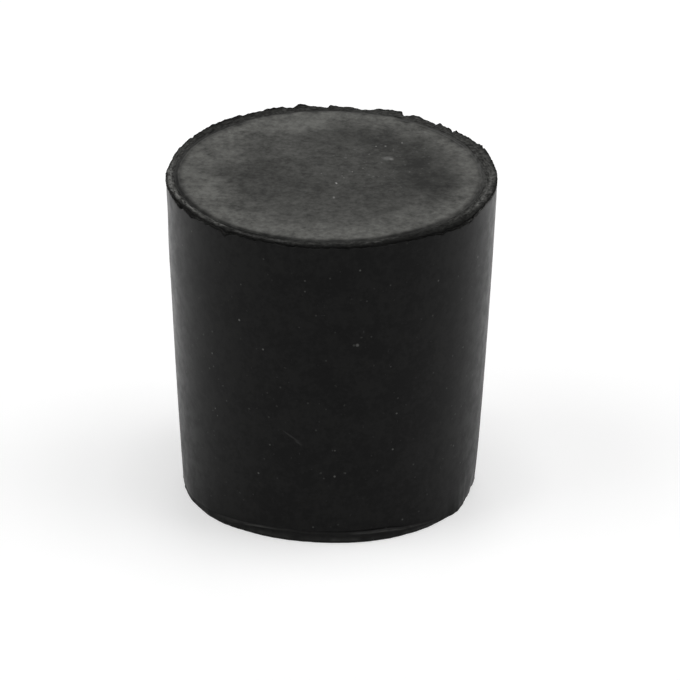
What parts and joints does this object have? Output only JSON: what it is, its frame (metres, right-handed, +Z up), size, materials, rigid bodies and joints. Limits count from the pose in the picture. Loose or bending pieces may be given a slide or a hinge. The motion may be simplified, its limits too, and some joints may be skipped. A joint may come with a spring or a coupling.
{
  "type": "rubber stopper",
  "caption": "Solid black rubber stopper: a tapered round plug with a slightly bulged side, a low foot, a grooved flat top and a torn flash rim, for closing flasks and tubes.",
  "frame": {"origin": "centre of the small end's flat face, which the stopper stands on", "axes": "+Z up along the plug's axis, from the small end to the wide end; -Y towards the side that the picture shows"},
  "size_m": [0.0278, 0.0278, 0.0286],
  "materials": {
    "black_rubber": "matt moulded black rubber, dusty grey on the wide end"
  },
  "bodies": {
    "root": {"stopper": "black_rubber"}
  },
  "joints": []
}
